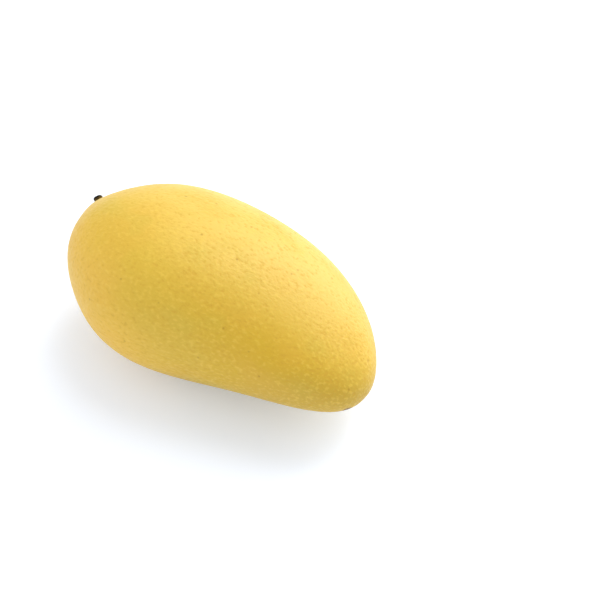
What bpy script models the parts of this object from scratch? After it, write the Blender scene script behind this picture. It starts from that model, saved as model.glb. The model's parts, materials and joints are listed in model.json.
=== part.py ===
# A ripe mango, as picked, lying on one cheek. Metres, +Z up.
# +X runs to the apex, +Y to the arched back, +Z out of the cheek that faces up.
# The origin lies under the middle of the fruit, on the surface that it rests on.
import math

import bmesh
import bpy
from mathutils import Euler, Matrix, Vector

# Driving dimensions
LENGTH = 0.150
WIDTH = 0.0815
THICKNESS = 0.071

# Side outline: control points of a closed cubic B-spline, as shares of half the length and width.
# It starts at the stem, goes over the back to the apex and comes home along the belly.
SIDE_OUTLINE = (
    (-1.045, 0.355),  # stem, on the back half of the blunt end
    (-0.585, 0.91),   # shoulder of the back
    (-0.195, 1.045),  # top of the arched back
    (0.49, 0.89),     # back, sloping down
    (0.91, 0.305),    # back, just before the apex
    (1.065, -0.46),   # apex
    (0.73, -0.73),    # beak side, under the apex
    (0.22, -0.815),   # sinus, where the belly line is nearly straight
    (-0.3, -1.075),   # belly
    (-0.61, -0.96),   # full belly shoulder
    (-0.935, -0.45),  # blunt end, below the stem
    (-0.975, -0.025),  # blunt end
)
STEM_AT = -0.04          # the outline's parameter at the stem, and at the apex
APEX_AT = 5
NORMAL_STEP = 0.01       # how far to each side of the stem the outline's direction is taken

# Cross-sections
CHEEK_SQUARENESS = 2.2   # 2 is an ellipse; more than 2 has fuller cheeks
STEM_RISE = 0.001        # how far the stem's end stands above the middle plane
RINGS = 46
RING_POINTS = 64
END_RING_SQUEEZE = 0.5   # ring spacing at the two ends, as a share of the mean spacing

# Dip round the stem
DIP_DEPTH = 0.0008
DIP_RADIUS = 0.0065
DIP_REACH = 4 * DIP_RADIUS

# How the fruit lies, and the flat spot that its weight presses into the cheek
LIE_ROLL = math.radians(0.3)
LIE_PITCH = math.radians(2.2)
REST_CUT = 0.0004

# Stub of the cut stalk: radius and height above the skin, from its root to the middle of the cut
STUB_PROFILE = (
    (0.00000, -0.0034),
    (0.00150, -0.0034),
    (0.00185, -0.0028),
    (0.00195, -0.0004),
    (0.00190, 0.0020),
    (0.00208, 0.0039),
    (0.00212, 0.0049),
    (0.00188, 0.0055),
    (0.00110, 0.0054),
    (0.00000, 0.0051),
)
STUB_SIDES = 28
STUB_CUT_SLOPE = 0.16    # the knife cut is a little oblique
STUB_TILT = math.radians(30)     # the stalk left the fruit slightly upwards
STUB_SWING = math.radians(14)    # and nearer to the fruit's length than the skin's normal
GAP = 0.0003
SOCKET_RADIUS = 0.00195 + GAP
SOCKET_DEPTH = 0.0034 + GAP
SOCKET_SIDES = 28

STUB_SHARP_ANGLE = math.radians(50)

SKIN_COLOUR = (0.86, 0.60, 0.11, 1.0)
SKIN_ROUGHNESS = 0.45
STUB_COLOUR = (0.030, 0.018, 0.010, 1.0)
STUB_ROUGHNESS = 0.75


def clear_scene():
    for thing in list(bpy.data.objects):
        bpy.data.objects.remove(thing, do_unlink=True)


def material(name, colour, roughness):
    made = bpy.data.materials.new(name)
    made.use_nodes = True
    shader = made.node_tree.nodes["Principled BSDF"]
    shader.inputs["Base Color"].default_value = colour
    shader.inputs["Roughness"].default_value = roughness
    shader.inputs["Metallic"].default_value = 0.0
    return made


def outline_point(at):
    """The side outline at a parameter that grows by 1 from control point to control point."""
    whole = math.floor(at)
    part = at - whole
    weights = (
        (1 - part) ** 3,
        3 * part ** 3 - 6 * part ** 2 + 4,
        -3 * part ** 3 + 3 * part ** 2 + 3 * part + 1,
        part ** 3,
    )
    x = 0.0
    y = 0.0
    for step, weight in enumerate(weights):
        share_x, share_y = SIDE_OUTLINE[(whole - 1 + step) % len(SIDE_OUTLINE)]
        x += weight / 6 * share_x * LENGTH / 2
        y += weight / 6 * share_y * WIDTH / 2
    return Vector((x, y, 0.0))


def chord(station):
    """Where a slanted ring meets the back and the belly, from station 0, the stem, to 1, the apex."""
    back = outline_point(STEM_AT + (APEX_AT - STEM_AT) * station)
    belly = outline_point(STEM_AT - (len(SIDE_OUTLINE) - APEX_AT + STEM_AT) * station)
    return back, belly


def station_of(ring):
    """Rings stand closer together towards the two ends."""
    share = (ring + 0.5) / RINGS
    swing = (1 - END_RING_SQUEEZE) / (2 * math.pi)
    return share - swing * math.sin(2 * math.pi * share)


def power(value, exponent):
    return math.copysign(abs(value) ** exponent, value)


def ring_points(station, thickness_share):
    """One closed ring of the fruit, a rounded oval as thick as its chord asks."""
    back, belly = chord(station)
    centre = (back + belly) / 2
    reach = (back - belly) / 2
    lift = STEM_RISE * ((1 + math.cos(math.pi * station)) / 2) ** 2
    points = []
    for step in range(RING_POINTS):
        angle = 2 * math.pi * step / RING_POINTS
        across = power(math.cos(angle), 2 / CHEEK_SQUARENESS)
        up = power(math.sin(angle), 2 / CHEEK_SQUARENESS)
        point = centre + reach * across
        point.z = lift + reach.length * thickness_share * up
        points.append(point)
    return points


def stem_axes():
    """The stem's point on the skin and its outward direction, before the fruit is laid down."""
    tip = outline_point(STEM_AT)
    tip.z = STEM_RISE
    along = outline_point(STEM_AT + NORMAL_STEP) - outline_point(STEM_AT - NORMAL_STEP)
    outward = Vector((-along.y, along.x, 0.0)).normalized()
    return tip, outward


def add_dip(points, stem_tip, outward):
    """A shallow dip round the stem."""
    for point in points:
        away = point - stem_tip
        radius = (away - outward * away.dot(outward)).length
        if away.length < DIP_REACH:
            point -= outward * DIP_DEPTH * math.exp(-((radius / DIP_RADIUS) ** 2))


def loft(rings, first_tip, last_tip):
    """A closed mesh through equal rings, with a fan at each tip."""
    shape = bmesh.new()
    loops = []
    for ring in rings:
        loops.append([shape.verts.new(point) for point in ring])
    start = shape.verts.new(first_tip)
    end = shape.verts.new(last_tip)
    count = len(loops[0])
    for here, there in zip(loops, loops[1:]):
        for step in range(count):
            after = (step + 1) % count
            shape.faces.new((here[step], here[after], there[after], there[step]))
    for step in range(count):
        after = (step + 1) % count
        shape.faces.new((loops[0][after], loops[0][step], start))
        shape.faces.new((loops[-1][step], loops[-1][after], end))
    bmesh.ops.recalc_face_normals(shape, faces=shape.faces)
    return shape


def object_from(shape, name, finish):
    mesh = bpy.data.meshes.new(name)
    shape.to_mesh(mesh)
    shape.free()
    mesh.shade_smooth()
    made = bpy.data.objects.new(name, mesh)
    bpy.context.collection.objects.link(made)
    if finish is not None:
        mesh.materials.append(finish)
    return made


def lay_down(shape):
    """Turn the fruit onto its cheek and press the flat spot. Returns the place where it lies."""
    turn = Euler((LIE_ROLL, LIE_PITCH, 0.0)).to_matrix().to_4x4()
    bmesh.ops.transform(shape, matrix=turn, verts=shape.verts)
    floor = min(vert.co.z for vert in shape.verts) + REST_CUT
    lift = Matrix.Translation((0.0, 0.0, -floor))
    bmesh.ops.transform(shape, matrix=lift, verts=shape.verts)
    cut = bmesh.ops.bisect_plane(
        shape,
        geom=list(shape.verts) + list(shape.edges) + list(shape.faces),
        plane_co=(0, 0, 0),
        plane_no=(0, 0, -1),
        clear_outer=True,
    )
    rim = [piece for piece in cut["geom_cut"] if isinstance(piece, bmesh.types.BMEdge)]
    bmesh.ops.contextual_create(shape, geom=rim)
    bmesh.ops.recalc_face_normals(shape, faces=shape.faces)
    return lift @ turn


def make_fruit(finish):
    """The fruit, grown in one piece. Returns it and the place where it lies."""
    chords = [chord(station_of(ring)) for ring in range(RINGS)]
    thickness_share = THICKNESS / max((back - belly).length for back, belly in chords)
    stem_tip, outward = stem_axes()
    rings = [ring_points(station_of(ring), thickness_share) for ring in range(RINGS)]
    for ring in rings:
        add_dip(ring, stem_tip, outward)
    shape = loft(rings, stem_tip - outward * DIP_DEPTH, outline_point(APEX_AT))
    place = lay_down(shape)
    return object_from(shape, "fruit", finish), place


def stem_frame(place):
    """Where the stub stands: its origin on the skin in the dip, its local +Z pointing out."""
    stem_tip, outward = stem_axes()
    foot = place @ (stem_tip - outward * DIP_DEPTH)
    level = Matrix.Rotation(STUB_SWING, 3, "Z") @ outward
    leaning = level * math.cos(STUB_TILT) + Vector((0.0, 0.0, math.sin(STUB_TILT)))
    direction = place.to_3x3() @ leaning
    return Matrix.Translation(foot) @ direction.to_track_quat("Z", "Y").to_matrix().to_4x4()


def turned(profile, sides, name, finish):
    """A solid turned about local Z from (radius, height) pairs that start and end on the axis."""
    shape = bmesh.new()
    verts = [shape.verts.new((radius, 0.0, height)) for radius, height in profile]
    edges = [shape.edges.new(pair) for pair in zip(verts, verts[1:])]
    bmesh.ops.spin(
        shape,
        geom=verts + edges,
        cent=(0, 0, 0),
        axis=(0, 0, 1),
        angle=2 * math.pi,
        steps=sides,
    )
    bmesh.ops.remove_doubles(shape, verts=shape.verts, dist=1e-6)
    bmesh.ops.recalc_face_normals(shape, faces=shape.faces)
    return object_from(shape, name, finish)


def make_stub(frame, finish):
    """The dark stub of the cut stalk, its root sunk in the fruit."""
    stub = turned(STUB_PROFILE, STUB_SIDES, "stem_stub", finish)
    top = STUB_PROFILE[-1][1]
    for vert in stub.data.vertices:
        if vert.co.z > 0:
            vert.co.z += STUB_CUT_SLOPE * vert.co.x * vert.co.z / top
    stub.data.set_sharp_from_angle(angle=STUB_SHARP_ANGLE)
    stub.matrix_world = frame
    return stub


def cut_socket(fruit, frame):
    """A blind hole in the fruit that the stub's root stands in. Returns its cutter."""
    profile = (
        (0.0, -SOCKET_DEPTH),
        (SOCKET_RADIUS, -SOCKET_DEPTH),
        (SOCKET_RADIUS, SOCKET_DEPTH),
        (0.0, SOCKET_DEPTH),
    )
    cutter = turned(profile, SOCKET_SIDES, "socket_cutter", None)
    cutter.matrix_world = frame
    cutter.hide_render = True
    cutter.display_type = "WIRE"
    cut = fruit.modifiers.new("stem_socket", "BOOLEAN")
    cut.operation = "DIFFERENCE"
    cut.solver = "EXACT"
    cut.object = cutter
    return cutter


def centre_over_origin(pieces, guides):
    """Bring the middle of all the pieces over the origin."""
    bpy.context.view_layer.update()
    points = [piece.matrix_world @ vert.co for piece in pieces for vert in piece.data.vertices]
    for axis in (0, 1):
        places = [point[axis] for point in points]
        middle = (min(places) + max(places)) / 2
        for thing in pieces + guides:
            thing.location[axis] -= middle


def main():
    clear_scene()
    skin = material("ripe_mango_skin", SKIN_COLOUR, SKIN_ROUGHNESS)
    bark = material("dried_stalk", STUB_COLOUR, STUB_ROUGHNESS)
    fruit, place = make_fruit(skin)
    frame = stem_frame(place)
    stub = make_stub(frame, bark)
    cutter = cut_socket(fruit, frame)
    centre_over_origin([fruit, stub], [cutter])


main()
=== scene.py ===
# The looks of a whole ripe mango: its pebbled, waxy skin and the dark stub of its cut stalk.
import json
import math

import bmesh
import bpy
import numpy
from mathutils import Matrix, Vector

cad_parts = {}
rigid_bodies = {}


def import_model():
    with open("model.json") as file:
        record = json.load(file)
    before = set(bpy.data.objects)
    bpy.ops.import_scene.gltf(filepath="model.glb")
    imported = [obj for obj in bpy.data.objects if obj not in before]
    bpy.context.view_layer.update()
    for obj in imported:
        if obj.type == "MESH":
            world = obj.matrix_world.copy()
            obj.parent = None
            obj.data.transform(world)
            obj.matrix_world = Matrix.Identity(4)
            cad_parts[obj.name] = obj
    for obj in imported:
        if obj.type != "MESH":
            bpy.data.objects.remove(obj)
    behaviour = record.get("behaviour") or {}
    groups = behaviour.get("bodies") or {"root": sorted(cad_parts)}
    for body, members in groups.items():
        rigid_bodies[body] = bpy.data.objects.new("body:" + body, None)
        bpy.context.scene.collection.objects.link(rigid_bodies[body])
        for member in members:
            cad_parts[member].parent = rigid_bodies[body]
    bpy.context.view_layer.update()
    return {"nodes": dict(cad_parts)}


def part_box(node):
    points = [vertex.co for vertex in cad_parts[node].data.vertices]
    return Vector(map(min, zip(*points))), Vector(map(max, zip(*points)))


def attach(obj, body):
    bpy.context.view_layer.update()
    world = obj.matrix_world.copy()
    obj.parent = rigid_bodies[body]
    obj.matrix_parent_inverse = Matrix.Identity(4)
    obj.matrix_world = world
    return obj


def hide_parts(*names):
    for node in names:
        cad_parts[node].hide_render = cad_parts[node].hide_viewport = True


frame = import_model()

MM = 0.001

# Skin mesh
SKIN_CUTS = 126               # cuts along each edge of the starting block
GUIDE_FLATNESS = math.radians(30)   # the guide's triangles that meet flatter become one quad
GUIDE_SKEW = math.radians(60)       # how far such a quad may be from a rectangle
GUIDE_LEVELS = 2              # subdivision of the guide that the skin is wrapped on
SMOOTHING_PASSES = 10         # they take the guide's facets out
SKIN_LIFT = 0.06 * MM         # makes up for what the smoothing takes off
SKIN_CLEARANCE = 0.02 * MM    # how far the skin's box stays inside the solid fruit's
MERGE_DISTANCE = 0.01 * MM
SOCKET_REACH = 2.6 * MM       # the stalk's socket in the solid fruit, measured from the stalk's foot
SOCKET_DEPTH = 5.4 * MM

# Relief of the skin
UNDULATION_WIDTH = 26 * MM    # slow swellings of the flesh under the skin
UNDULATION_DEPTH = 0.12 * MM
PEBBLE_WIDTH = 3.2 * MM       # the coarsest of the leathery grain
PEBBLE_DEPTH = 0.08 * MM
SKIN_RELIEF_DETAIL = 1
GRAIN_HEIGHT = 0.27 * MM      # the fine pebbles between them, too fine for the mesh
PORE_HEIGHT = 0.05 * MM

# Stub of the cut stalk
SOLID_ROOT_DEPTH = 3.4 * MM   # how deep the solid stub's root lies under the skin
STUB_SIDES = 64
STUB_LEVELS = 2               # subdivision that rounds the stub's rings
STUB_ROOT_RADIUS = 1.7 * MM
STUB_ROOT_DEPTH = 2.0 * MM
STUB_RINGS = (                # radius, height above the skin and added lean of each ring
    (1.95 * MM, 0.0, 0.0),
    (2.00 * MM, 0.6 * MM, 0.0),
    (1.86 * MM, 1.7 * MM, 0.0),
    (1.92 * MM, 2.8 * MM, 0.0),
    (2.05 * MM, 3.8 * MM, math.radians(2)),
    (2.06 * MM, 4.4 * MM, math.radians(2)),
    (1.90 * MM, 4.95 * MM, math.radians(2)),
    (1.52 * MM, 5.3 * MM, math.radians(2)),
)
CUT_STEPS = (                 # width of each step towards the middle of the cut, and its rise
    (0.3 * MM, 0.06 * MM),
    (0.4 * MM, -0.12 * MM),
    (0.4 * MM, -0.08 * MM),
)
WRINKLE_WIDTH = 0.9 * MM
WRINKLE_DEPTH = 0.16 * MM
WRINKLE_DETAIL = 2
FIBRE_HEIGHT = 0.12 * MM

# Widths of the bark's patterns. Real fibres are half as wide, too fine to show.
BARK_PATTERNS = {
    "fibre": 0.45 * MM,
    "patch": 1.6 * MM,
}
BARK_DETAIL = 3.0

# Colours, as sRGB hex values
RIND_GOLD = "d5b136"
RIND_HONEY = "d2aa22"
# The lemon is partly the rind's own paler tint and partly painted highlight on the flank that faces the
# lights.
RIND_LEMON_AND_HIGHLIGHT = "e5c15b"
# The peach is partly the rind's own blush at the blunt end and partly painted warm fill light.
RIND_PEACH_AND_WARM_LIGHT = "ecba40"
RIND_ORANGE = "d9aa36"
RIND_OLIVE = "ccb13c"
# Painted shade: a darker gold laid on the underside and on the lower rim towards the apex.
RIND_PAINTED_SHADE = "bd9c34"
RIND_FLECK = "eac74e"
RIND_PIT = "cb9f2b"
RIND_SPOT = "a87c1e"
RIND_STALK_RING = "a98a3a"
RIND_SCAR = "5e3a12"
BARK_BLACK = "0a0806"
BARK_BROWN = "1e1710"
SHAFT_BROWN = "6a5214"
PITH_BROWN = "745a2c"
FLOOR_WHITE = "e9eef6"
FLOOR_GLEAM = "cfdcf0"

# Places and directions on the rind
SCAR_PLACE = (0.0718, -0.0192, 0.0268)   # the small brown mark beside the apex
SCAR_RAGGEDNESS = 1.5 * MM
RIND_WAYS = {
    "towards_apex": (0.98, -0.2, 0.0),
    # This direction points up and back at the key and rim lights; the lemon laid along it is partly painted
    # highlight.
    "towards_lights": (0.2, 0.7, 0.65),
    "towards_shoulder": (-0.6, -0.7, -0.35),
    # towards_ground and towards_nose place painted shade on the underside and on the lower rim.
    "towards_ground": (0.0, 0.0, -1.0),
    "towards_nose": (0.5, -0.7, -0.5),
}

# Clouds and grain of the rind: width, how far it is drawn out along the fruit, detail, and a
# shift that keeps one pattern from following another. Real pores are about 0.3 mm wide, too fine
# to show, so they are drawn coarser.
RIND_PATTERNS = {
    "warm_cloud": (17 * MM, 1.4, 1.0, 0.0),
    "green_cloud": (13 * MM, 1.6, 1.0, 0.31),
    "long_grain": (1.3 * MM, 1.5, 1.4, 0.0),
    "round_grain": (1.15 * MM, 1.3, 0.9, 0.53),
    "pores": (0.7 * MM, 1.4, 1.0, 0.17),
}
SPOT_SPACING = 6.5 * MM
SPOT_SHARE = 0.34             # how many of the places for a brown spot have one

# Colours laid over the gold, in order: the colour, what decides where it lies, the values at
# which it starts and is complete, and how strong it gets
RIND_LAYERS = (
    (RIND_HONEY, "towards_apex", -10 * MM, 50 * MM, 1.0),
    # Partly the rind's own paler tint, partly painted highlight on the flank that faces the lights.
    (RIND_LEMON_AND_HIGHLIGHT, "towards_lights", 20 * MM, 60 * MM, 1.0),
    (RIND_ORANGE, "warm_cloud", 0.45, 0.68, 0.32),
    (RIND_OLIVE, "green_cloud", 0.5, 0.7, 0.36),
    # Painted shade, darker towards the ground and along the lower rim towards the apex.
    (RIND_PAINTED_SHADE, "towards_ground", -25 * MM, -11 * MM, 1.0),
    (RIND_PAINTED_SHADE, "towards_nose", 14 * MM, 34 * MM, 0.6),
    # Partly the rind's own blush, partly painted warm fill light on the shoulder that faces the fill light.
    (RIND_PEACH_AND_WARM_LIGHT, "towards_shoulder", 10 * MM, 34 * MM, 0.6),
    (RIND_FLECK, "grain", 0.5, 0.72, 0.38),
    (RIND_PIT, "grain", 0.46, 0.28, 0.54),
    (RIND_SPOT, "spot_distance", 0.12, 0.04, 0.5),
    (RIND_STALK_RING, "stalk_distance", 7.5 * MM, 2.5 * MM, 0.55),
    (RIND_SCAR, "scar_distance", 3.6 * MM, 2.2 * MM, 0.85),
)
ROUND_GRAIN_AREA = (25 * MM, 62 * MM)    # along the fruit, towards the apex
FIRM_AREA = (-60 * MM, 40 * MM)          # where the grain rises to its full strength
FIRM_RANGE = (0.7, 1.0)                  # its strength at the blunt end and at the apex
MEAN_GRAIN = 0.5                         # the grain's middle value, which it keeps where it fades
SATIN_GRAIN = (0.35, 0.65)               # the grain in the pits and on the pebbles
SATIN_RANGE = (0.56, 0.46)               # the roughness there
RIND_FINISH = {
    "IOR": 1.45,
    "Subsurface Weight": 0.06,
    "Subsurface Radius": (1.0, 0.6, 0.15),
    "Subsurface Scale": 2.0 * MM,
}

# Colours laid over the bark's black, in the same way
STALK_LAYERS = (
    (BARK_BROWN, "fibre", 0.35, 0.7, 1.0),
    (SHAFT_BROWN, "patch", 0.3, 0.6, 0.9),
    (BARK_BLACK, "rim_height", 4.8 * MM, 5.4 * MM, 1.0),
    (PITH_BROWN, "radius", 1.7 * MM, 1.1 * MM, 0.85),
)
RIM_RAGGEDNESS = 1.2 * MM
STALK_FINISH = {"Roughness": 0.8, "IOR": 1.3}

# Camera: a long lens looking down on the fruit
CAMERA_AZIMUTH = math.radians(30.8)
CAMERA_ELEVATION = math.radians(49.39)
CAMERA_DISTANCE = 0.6945
CAMERA_AIM = (0.0286, 0.0160, 0.0341)
CAMERA_LENS = 100
CAMERA_SENSOR = 36
CAMERA_NEAR = 0.01

# Light: the place, width and power of each soft light. The floor glows a little of itself.
SOFT_LIGHTS = {
    "key": ((0.137, 0.646, 1.173), 0.9, 8.6),
    "rim": ((0.372, 1.146, 0.517), 0.7, 5.5),
    "fill": ((-0.86, -0.56, 0.40), 0.6, 1.0),
}
LIGHT_AIM = (0.0, 0.0, 0.03)
ROOM_LIGHT = 0.82
FLOOR_SIZE = 6.0
FLOOR_DROP = 0.2 * MM
FLOOR_ROUGHNESS = 0.9
FLOOR_GLOW = 0.28


def linear(hex_colour):
    """An sRGB hex colour as linear red, green, blue and full alpha."""
    values = []
    for start in (0, 2, 4):
        value = int(hex_colour[start:start + 2], 16) / 255
        values.append(value / 12.92 if value <= 0.04045 else ((value + 0.055) / 1.055) ** 2.4)
    return (*values, 1.0)


def activate(piece):
    """Makes a piece the only one that the next operator acts on."""
    for thing in bpy.data.objects:
        thing.select_set(thing == piece)
    bpy.context.view_layer.objects.active = piece


def apply_place(piece):
    """Puts a piece's place, turn and size into its mesh."""
    activate(piece)
    bpy.ops.object.transform_apply(location=True, rotation=True, scale=True)


def modify(piece, kind, **settings):
    """Changes a piece's mesh with one modifier."""
    modifier = piece.modifiers.new(kind.lower(), kind)
    for name, value in settings.items():
        setattr(modifier, name, value)
    activate(piece)
    bpy.ops.object.modifier_apply(modifier=modifier.name)


def raise_pattern(piece, name, width, depth, detail):
    """Raises and sinks the surface by a cloudy pattern of a given width and depth."""
    pattern = bpy.data.textures.new(name, "CLOUDS")
    pattern.noise_scale = width
    pattern.noise_depth = detail
    modify(piece, "DISPLACE", texture=pattern, texture_coords="LOCAL", strength=depth)


def finish_piece(piece, name, material, node):
    """Names a piece, gives it its material and puts it in the place of its solid."""
    piece.name = name
    piece.data.name = name
    piece.data.shade_smooth()
    piece.data.materials.clear()
    piece.data.materials.append(material)
    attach(piece, "root")
    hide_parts(node)


def stalk_axis():
    """The stalk's foot on the skin and its outward direction, from the solid stub's own points."""
    low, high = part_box("fruit")
    corners = [tuple(corner.co) for corner in frame["nodes"]["stem_stub"].data.vertices]
    points = numpy.unique(numpy.array(corners).round(6), axis=0)
    middle = points.mean(axis=0)
    outward = numpy.linalg.svd(points - middle)[2][0]
    outward *= numpy.sign(outward @ (middle - numpy.array((low + high) / 2)))
    root = ((points - middle) @ outward).min()
    return Vector(middle + outward * (root + SOLID_ROOT_DEPTH)), Vector(outward)


def make_guide(foot, outward):
    """A smooth copy of the solid fruit, its stalk socket closed, that the skin is wrapped on."""
    guide = bpy.data.objects.new("skin_guide", frame["nodes"]["fruit"].data.copy())
    bpy.context.scene.collection.objects.link(guide)
    activate(guide)
    bpy.ops.object.mode_set(mode="EDIT")
    bpy.ops.mesh.select_all(action="SELECT")
    bpy.ops.mesh.remove_doubles(threshold=MERGE_DISTANCE)
    bpy.ops.mesh.select_all(action="DESELECT")
    shape = bmesh.from_edit_mesh(guide.data)
    for face in shape.faces:
        away = face.calc_center_median() - foot
        height = away.dot(outward)
        face.select = abs(height) < SOCKET_DEPTH and (away - outward * height).length < SOCKET_REACH
    bmesh.update_edit_mesh(guide.data)
    bpy.ops.mesh.delete(type="FACE")
    bpy.ops.mesh.select_all(action="DESELECT")
    bpy.ops.mesh.select_non_manifold()
    bpy.ops.mesh.edge_face_add()
    bpy.ops.mesh.poke()
    bpy.ops.mesh.select_all(action="SELECT")
    bpy.ops.mesh.tris_convert_to_quads(face_threshold=GUIDE_FLATNESS, shape_threshold=GUIDE_SKEW)
    bpy.ops.mesh.normals_make_consistent(inside=False)
    bpy.ops.object.mode_set(mode="OBJECT")
    modify(guide, "SUBSURF", levels=GUIDE_LEVELS, render_levels=GUIDE_LEVELS)
    return guide


def fit_box(piece, low, high):
    """Moves and sizes a piece, by fractions of a millimetre, to fill a box."""
    corners = numpy.array([tuple(corner.co) for corner in piece.data.vertices])
    least = Vector(corners.min(axis=0))
    most = Vector(corners.max(axis=0))
    share = Vector([wanted / own for wanted, own in zip(high - low, most - least)])
    piece.scale = share
    piece.location = low - least * share
    apply_place(piece)


def make_skin(foot, outward):
    """The whole outside of the fruit as one fine, closed, even mesh: a block of its size, cut
    small, rounded to an egg and laid on the guide."""
    low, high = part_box("fruit")
    guide = make_guide(foot, outward)
    activate(None)
    bpy.ops.mesh.primitive_cube_add(size=1.0, location=(low + high) / 2, scale=high - low)
    skin = bpy.context.object
    bpy.ops.object.mode_set(mode="EDIT")
    bpy.ops.mesh.select_all(action="SELECT")
    bpy.ops.mesh.subdivide(number_cuts=SKIN_CUTS)
    bpy.ops.object.mode_set(mode="OBJECT")
    modify(skin, "CAST", factor=1.0, size=0.5)
    apply_place(skin)
    modify(skin, "SHRINKWRAP", target=guide)
    modify(skin, "SMOOTH", iterations=SMOOTHING_PASSES)
    modify(skin, "SHRINKWRAP", target=guide, wrap_mode="ABOVE_SURFACE", offset=SKIN_LIFT)
    modify(skin, "SMOOTH", iterations=SMOOTHING_PASSES)
    raise_pattern(skin, "undulation", UNDULATION_WIDTH, UNDULATION_DEPTH, SKIN_RELIEF_DETAIL)
    raise_pattern(skin, "pebbles", PEBBLE_WIDTH, PEBBLE_DEPTH, SKIN_RELIEF_DETAIL)
    bpy.data.objects.remove(guide)
    clearance = Vector([SKIN_CLEARANCE] * 3)
    fit_box(skin, low + clearance, high - clearance)
    finish_piece(skin, "mango_skin", rind_material(foot), "fruit")


def make_stub(foot, outward):
    """The dried stub of the cut stalk, wrinkled along its sides, with a rough oblique cut."""
    activate(None)
    bpy.ops.mesh.primitive_circle_add(
        vertices=STUB_SIDES, radius=STUB_ROOT_RADIUS, fill_type="NGON", location=(0, 0, -STUB_ROOT_DEPTH))
    stub = bpy.context.object
    apply_place(stub)
    bpy.ops.object.mode_set(mode="EDIT")
    bpy.ops.mesh.select_all(action="SELECT")
    radius = STUB_ROOT_RADIUS
    height = -STUB_ROOT_DEPTH
    for next_radius, next_height, lean in STUB_RINGS:
        middle = (0, 0, next_height)
        bpy.ops.mesh.extrude_region_move(TRANSFORM_OT_translate={"value": (0, 0, next_height - height)})
        bpy.ops.transform.resize(value=[next_radius / radius] * 3, center_override=middle)
        bpy.ops.transform.rotate(value=lean, orient_axis="Y", center_override=middle)
        radius = next_radius
        height = next_height
    for width, rise in CUT_STEPS:
        bpy.ops.mesh.inset(thickness=width)
        bpy.ops.transform.translate(value=(0, 0, rise))
    bpy.ops.mesh.select_all(action="SELECT")
    bpy.ops.mesh.normals_make_consistent(inside=False)
    bpy.ops.object.mode_set(mode="OBJECT")
    modify(stub, "SUBSURF", levels=STUB_LEVELS, render_levels=STUB_LEVELS)
    stub.matrix_world = Matrix.Translation(foot) @ outward.to_track_quat("Z", "Y").to_matrix().to_4x4()
    apply_place(stub)
    raise_pattern(stub, "wrinkles", WRINKLE_WIDTH, WRINKLE_DEPTH, WRINKLE_DETAIL)
    finish_piece(stub, "stalk_stub", stalk_material(foot, outward), "stem_stub")


def add_node(tree, kind, output, inputs, **settings):
    """Adds a node, sets or links its inputs, and gives back the output that is asked for."""
    node = tree.nodes.new(kind)
    for name, value in settings.items():
        setattr(node, name, value)
    for key, value in inputs.items():
        if isinstance(value, bpy.types.NodeSocket):
            tree.links.new(value, node.inputs[key])
        else:
            node.inputs[key].default_value = value
    return node.outputs[output]


def new_material(name, finish):
    """A material with its shader's plain values set, its node tree and its shader's inputs."""
    made = bpy.data.materials.new(name)
    made.use_nodes = True
    inputs = made.node_tree.nodes["Principled BSDF"].inputs
    for key, value in finish.items():
        inputs[key].default_value = value
    return made, made.node_tree, inputs


def lay_colours(tree, ground, layers, measures):
    """Lays colours over a first one, each where its own measure says."""
    colour = linear(ground)
    for hex_colour, measure, start, end, strength in layers:
        share = add_node(tree, "ShaderNodeMapRange", "Result", {
            "Value": measures[measure], "From Min": start, "From Max": end, "To Max": strength,
        }, interpolation_type="SMOOTHSTEP")
        colour = add_node(tree, "ShaderNodeMix", 2, {
            0: share, 6: colour, 7: linear(hex_colour),
        }, data_type="RGBA")
    return colour


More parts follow.
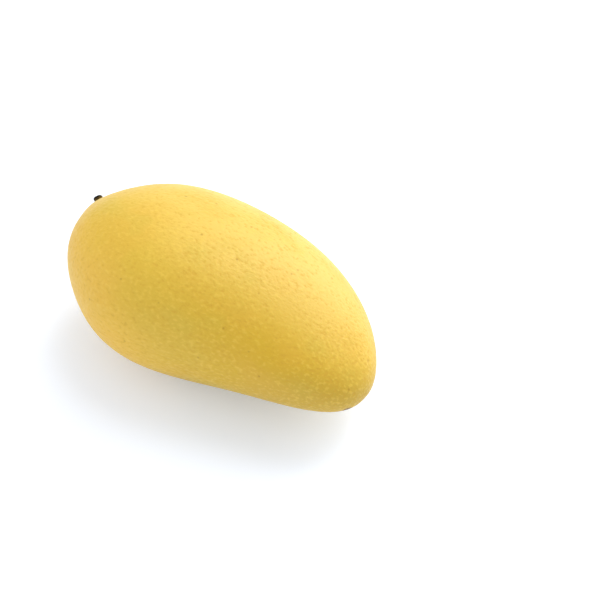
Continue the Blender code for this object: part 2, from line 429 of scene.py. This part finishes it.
def rind_measures(tree, foot):
    """What decides where each colour and each bump of the rind lies."""
    place = add_node(tree, "ShaderNodeTexCoord", "Object", {})
    measures = {}
    for name, direction in RIND_WAYS.items():
        measures[name] = add_node(tree, "ShaderNodeVectorMath", "Value", {
            0: place, 1: direction,
        }, operation="DOT_PRODUCT")
    for name, (width, stretch, detail, shift) in RIND_PATTERNS.items():
        laid = add_node(tree, "ShaderNodeMapping", "Vector", {
            "Vector": place, "Location": (shift, shift, shift), "Scale": (1 / stretch, 1.0, 1.0),
        })
        measures[name] = add_node(tree, "ShaderNodeTexNoise", "Fac", {
            "Vector": laid, "Scale": 1 / width, "Detail": detail,
        })

    # The long grain of the fruit's sides gives way to a round one towards the apex, and the
    # grain is flatter at the blunt end.
    apex_share = add_node(tree, "ShaderNodeMapRange", "Result", {
        "Value": measures["towards_apex"], "From Min": ROUND_GRAIN_AREA[0], "From Max": ROUND_GRAIN_AREA[1],
    }, interpolation_type="SMOOTHSTEP")
    whole_grain = add_node(tree, "ShaderNodeMix", 0, {
        0: apex_share, 2: measures["long_grain"], 3: measures["round_grain"],
    })
    firmness = add_node(tree, "ShaderNodeMapRange", "Result", {
        "Value": measures["towards_apex"], "From Min": FIRM_AREA[0], "From Max": FIRM_AREA[1],
        "To Min": FIRM_RANGE[0], "To Max": FIRM_RANGE[1],
    }, interpolation_type="SMOOTHSTEP")
    measures["grain"] = add_node(tree, "ShaderNodeMix", 0, {
        0: firmness, 2: MEAN_GRAIN, 3: whole_grain,
    })

    # A place for a spot that has none counts as a whole cell away from it.
    spots = {"Vector": place, "Scale": 1 / SPOT_SPACING}
    reach = add_node(tree, "ShaderNodeTexVoronoi", "Distance", spots)
    chance = add_node(tree, "ShaderNodeTexVoronoi", "Color", spots)
    red = add_node(tree, "ShaderNodeSeparateColor", 0, {"Color": chance})
    empty = add_node(tree, "ShaderNodeMath", 0, {0: red, 1: 1 - SPOT_SHARE}, operation="LESS_THAN")
    measures["spot_distance"] = add_node(tree, "ShaderNodeMath", 0, {0: reach, 1: empty}, operation="ADD")

    measures["stalk_distance"] = add_node(tree, "ShaderNodeVectorMath", "Value", {
        0: place, 1: tuple(foot),
    }, operation="DISTANCE")
    scar_reach = add_node(tree, "ShaderNodeVectorMath", "Value", {
        0: place, 1: SCAR_PLACE,
    }, operation="DISTANCE")
    measures["scar_distance"] = add_node(tree, "ShaderNodeMath", 0, {
        0: measures["pores"], 1: SCAR_RAGGEDNESS, 2: scar_reach,
    }, operation="MULTIPLY_ADD")
    return measures


def rind_material(foot):
    """Ripe mango rind, grown: thin, satin and waxy. It gives the eye the golden yellow of the fruit,
    lemon on the back that faces the lights, partly the rind's own paler tint and partly painted
    highlight, and peach at the blunt end, partly the rind's own blush and partly painted warm fill
    light, under a fine pale pebble grain. Painted shade darkens the underside and the lower rim
    towards the apex."""
    made, tree, shader = new_material("ripe_mango_rind", RIND_FINISH)
    measures = rind_measures(tree, foot)
    tree.links.new(lay_colours(tree, RIND_GOLD, RIND_LAYERS, measures), shader["Base Color"])

    satin = add_node(tree, "ShaderNodeMapRange", "Result", {
        "Value": measures["grain"], "From Min": SATIN_GRAIN[0], "From Max": SATIN_GRAIN[1],
        "To Min": SATIN_RANGE[0], "To Max": SATIN_RANGE[1],
    }, interpolation_type="SMOOTHSTEP")
    tree.links.new(satin, shader["Roughness"])

    pebbled = add_node(tree, "ShaderNodeBump", "Normal", {
        "Height": measures["grain"], "Distance": GRAIN_HEIGHT, "Strength": 1.0,
    })
    porous = add_node(tree, "ShaderNodeBump", "Normal", {
        "Height": measures["pores"], "Distance": PORE_HEIGHT, "Strength": 1.0, "Normal": pebbled,
    })
    tree.links.new(porous, shader["Normal"])
    return made


def stalk_material(foot, outward):
    """Dried stalk wood, cut with a knife and blackened by sap. It gives the eye a rough, nearly
    black rim with a brown middle on the cut."""
    made, tree, shader = new_material("dried_mango_stalk", STALK_FINISH)
    place = add_node(tree, "ShaderNodeTexCoord", "Object", {})
    away = add_node(tree, "ShaderNodeVectorMath", "Vector", {
        0: place, 1: tuple(foot),
    }, operation="SUBTRACT")
    height = add_node(tree, "ShaderNodeVectorMath", "Value", {
        0: away, 1: tuple(outward),
    }, operation="DOT_PRODUCT")
    sideways = add_node(tree, "ShaderNodeVectorMath", "Vector", {
        0: away, 1: tuple(outward),
    }, operation="CROSS_PRODUCT")
    measures = {
        "radius": add_node(tree, "ShaderNodeVectorMath", "Value", {0: sideways}, operation="LENGTH"),
    }
    for name, width in BARK_PATTERNS.items():
        measures[name] = add_node(tree, "ShaderNodeTexNoise", "Fac", {
            "Vector": place, "Scale": 1 / width, "Detail": BARK_DETAIL,
        })
    measures["rim_height"] = add_node(tree, "ShaderNodeMath", 0, {
        0: measures["fibre"], 1: RIM_RAGGEDNESS, 2: height,
    }, operation="MULTIPLY_ADD")
    tree.links.new(lay_colours(tree, BARK_BLACK, STALK_LAYERS, measures), shader["Base Color"])
    fibrous = add_node(tree, "ShaderNodeBump", "Normal", {
        "Height": measures["fibre"], "Distance": FIBRE_HEIGHT, "Strength": 1.0,
    })
    tree.links.new(fibrous, shader["Normal"])
    return made


def make_floor():
    """A plain white floor under everything, that glows a little, as over a light table."""
    activate(None)
    bpy.ops.mesh.primitive_plane_add(size=FLOOR_SIZE, location=(0, 0, -FLOOR_DROP))
    floor = bpy.context.object
    floor.name = "floor"
    apply_place(floor)
    made, _, _ = new_material("white_studio_floor", {
        "Base Color": linear(FLOOR_WHITE),
        "Roughness": FLOOR_ROUGHNESS,
        "Emission Color": linear(FLOOR_GLEAM),
        "Emission Strength": FLOOR_GLOW,
    })
    floor.data.materials.append(made)


def make_light():
    """A broad soft key from above, a low one from behind, a faint one from the left and a white
    room all round."""
    for name, (place, width, power) in SOFT_LIGHTS.items():
        light = bpy.data.lights.new(name, "AREA")
        light.shape = "SQUARE"
        light.size = width
        light.energy = power
        lamp = bpy.data.objects.new(name, light)
        lamp.location = place
        lamp.rotation_euler = (Vector(LIGHT_AIM) - Vector(place)).to_track_quat("-Z", "Y").to_euler()
        bpy.context.scene.collection.objects.link(lamp)
    world = bpy.data.worlds.new("white_room")
    world.use_nodes = True
    room = world.node_tree.nodes["Background"].inputs
    room["Color"].default_value = (1.0, 1.0, 1.0, 1.0)
    room["Strength"].default_value = ROOM_LIGHT
    bpy.context.scene.world = world
    bpy.context.scene.view_settings.view_transform = "Standard"
    bpy.context.scene.view_settings.look = "None"


def make_camera():
    """Looks down on the fruit from its belly side, the fruit left of the middle of the picture."""
    back = Vector((
        math.sin(CAMERA_AZIMUTH) * math.cos(CAMERA_ELEVATION),
        -math.cos(CAMERA_AZIMUTH) * math.cos(CAMERA_ELEVATION),
        math.sin(CAMERA_ELEVATION),
    ))
    lens = bpy.data.cameras.new("camera")
    lens.lens = CAMERA_LENS
    lens.sensor_width = CAMERA_SENSOR
    lens.clip_start = CAMERA_NEAR
    camera = bpy.data.objects.new("camera", lens)
    camera.location = Vector(CAMERA_AIM) + back * CAMERA_DISTANCE
    camera.rotation_euler = (-back).to_track_quat("-Z", "Y").to_euler()
    bpy.context.scene.collection.objects.link(camera)
    bpy.context.scene.camera = camera


make_camera()
stalk_foot, stalk_outward = stalk_axis()
make_skin(stalk_foot, stalk_outward)
make_stub(stalk_foot, stalk_outward)
make_floor()
make_light()
